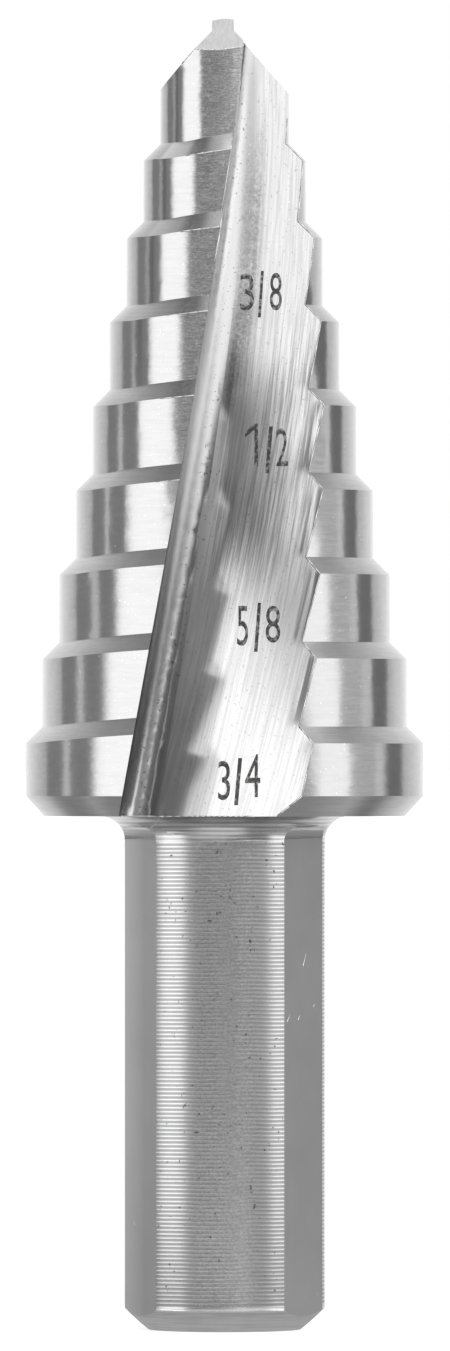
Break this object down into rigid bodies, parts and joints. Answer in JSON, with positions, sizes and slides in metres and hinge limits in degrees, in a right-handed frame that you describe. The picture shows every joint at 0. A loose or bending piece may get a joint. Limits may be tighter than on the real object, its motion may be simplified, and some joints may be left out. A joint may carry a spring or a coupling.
{
  "type": "step drill",
  "caption": "Stepped cone drill with helical flutes, relieved lands, a split point and a round shank with flats for the chuck.",
  "frame": {"origin": "centre of the flat end of the shank", "axes": "+Z along the drill's axis to its point; -Y is the side that the picture shows"},
  "size_m": [0.0188, 0.0172, 0.0623],
  "materials": {
    "steel": "bare tool steel, ground on the cone and flutes and finely turned on the shank"
  },
  "bodies": {
    "root": {"step_drill": "steel"}
  },
  "joints": []
}
